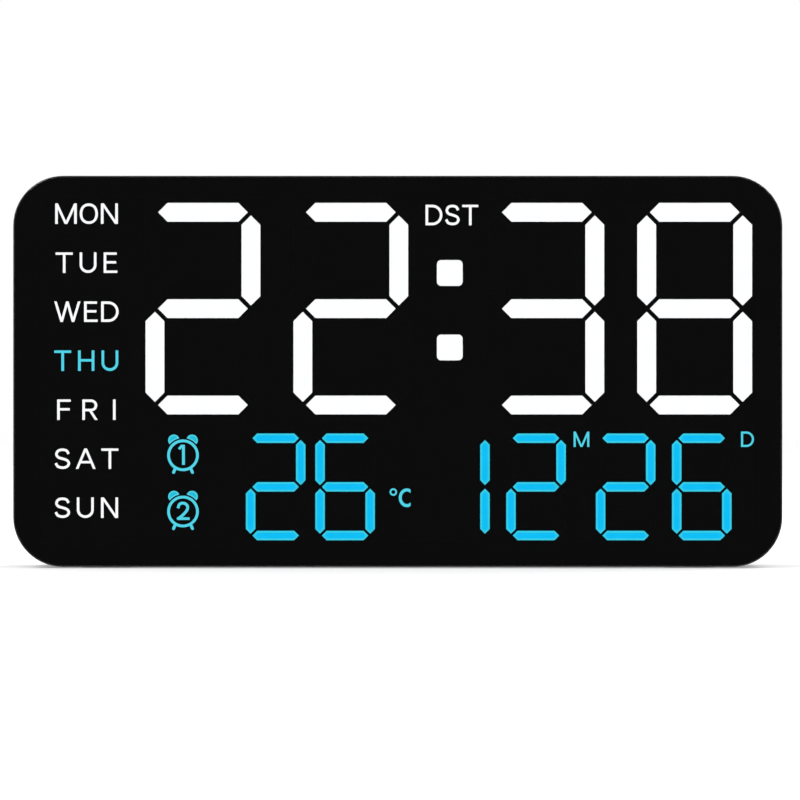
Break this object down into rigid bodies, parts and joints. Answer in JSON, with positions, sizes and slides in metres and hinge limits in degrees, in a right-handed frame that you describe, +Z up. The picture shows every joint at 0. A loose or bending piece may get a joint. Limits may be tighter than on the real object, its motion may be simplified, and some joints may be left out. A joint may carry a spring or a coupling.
{
  "type": "digital clock",
  "caption": "Slim rounded slab digital clock: dark lens over lit bar figures for time, date and temperature, with rear keys, battery door, fold-out stand and wall keyholes.",
  "frame": {"origin": "centre of the bounding box, on the plane that the feet rest on", "axes": "+X to the viewer's right when facing the display, +Y towards the rear, +Z up"},
  "size_m": [0.205, 0.027, 0.1045],
  "materials": {
    "smoked_acrylic": "polished, smoked clear",
    "black_adhesive": "foam tape",
    "black_case": "fine spark-eroded grain",
    "mask_film": "printed film",
    "white_plastic": "moulded",
    "lit_white": "lit diffuser",
    "lit_blue": "lit diffuser",
    "unlit": "tinted diffuser",
    "legend_diffuser": "diffuser",
    "board": "solder mask",
    "white_lamp": "moulded lamp",
    "blue_lamp": "moulded lamp",
    "black_rubber": "silicone",
    "dark_screw": "blackened",
    "plain_screw": "zinc plated",
    "plain_steel": "ground",
    "switch_plastic": "moulded",
    "plated_shell": "nickel plated",
    "contact_metal": "plated spring strip",
    "chip": "moulded",
    "capacitor_can": "drawn can",
    "sensor_bead": "dipped",
    "grey_key": "satin"
  },
  "bodies": {
    "case": {"front_lens": "smoked_acrylic", "lens_tape": "black_adhesive", "front_housing": "black_case", "display_mask": "mask_film", "light_reflector": "white_plastic", "hour_bars_lit": "lit_white", "hour_bars_dark": "unlit", "minute_bars_lit": "lit_white", "minute_bars_dark": "unlit", "colon_dots": "lit_white", "temperature_bars_lit": "lit_blue", "temperature_bars_dark": "unlit", "month_bars_lit": "lit_blue", "month_bars_dark": "unlit", "day_bars_lit": "lit_blue", "day_bars_dark": "unlit", "weekday_diffusers": "legend_diffuser", "symbol_diffusers": "legend_diffuser", "main_board": "board", "white_lamps": "white_lamp", "blue_lamps": "blue_lamp", "rear_cover": "black_case", "feet": "black_rubber", "case_screws": "dark_screw", "module_screws": "plain_screw", "board_screws": "plain_screw", "stand_pin": "plain_steel", "switch_bodies": "switch_plastic", "socket_shell": "plated_shell", "socket_tongue": "switch_plastic", "coin_cell": "plated_shell", "plus_contact": "contact_metal", "minus_contact": "contact_metal", "controller_chip": "chip", "driver_chips": "chip", "clock_crystal": "plated_shell", "capacitors": "capacitor_can", "buzzer": "switch_plastic", "temperature_sensor": "sensor_bead"},
    "stand": {"stand_leg": "black_case", "stand_tips": "black_rubber"},
    "battery_door": {"battery_door": "black_case", "door_screw": "dark_screw"},
    "set_key": {"set_button": "grey_key", "set_plunger": "switch_plastic"},
    "up_key": {"up_button": "grey_key", "up_plunger": "switch_plastic"},
    "down_key": {"down_button": "grey_key", "down_plunger": "switch_plastic"},
    "alarm_key": {"alarm_button": "grey_key", "alarm_plunger": "switch_plastic"},
    "light_key": {"light_button": "grey_key", "light_plunger": "switch_plastic"}
  },
  "joints": [
    {"name": "stand_hinge", "type": "hinge", "parent": "case", "child": "stand", "pos_m": [0, 0.0113, 0.06075], "axis": [1, 0, 0], "range_deg": [0, 30]},
    {"name": "battery_door_lift", "type": "slide", "parent": "case", "child": "battery_door", "axis": [0, 1, 0], "range_m": [0, 0.015]},
    {"name": "set_press", "type": "slide", "parent": "case", "child": "set_key", "axis": [0, -1, 0], "range_m": [0, 0.0004], "stiffness_N_per_m": 2000},
    {"name": "up_press", "type": "slide", "parent": "case", "child": "up_key", "axis": [0, -1, 0], "range_m": [0, 0.0004], "stiffness_N_per_m": 2000},
    {"name": "down_press", "type": "slide", "parent": "case", "child": "down_key", "axis": [0, -1, 0], "range_m": [0, 0.0004], "stiffness_N_per_m": 2000},
    {"name": "alarm_press", "type": "slide", "parent": "case", "child": "alarm_key", "axis": [0, -1, 0], "range_m": [0, 0.0004], "stiffness_N_per_m": 2000},
    {"name": "light_press", "type": "slide", "parent": "case", "child": "light_key", "axis": [0, -1, 0], "range_m": [0, 0.0004], "stiffness_N_per_m": 2000}
  ]
}
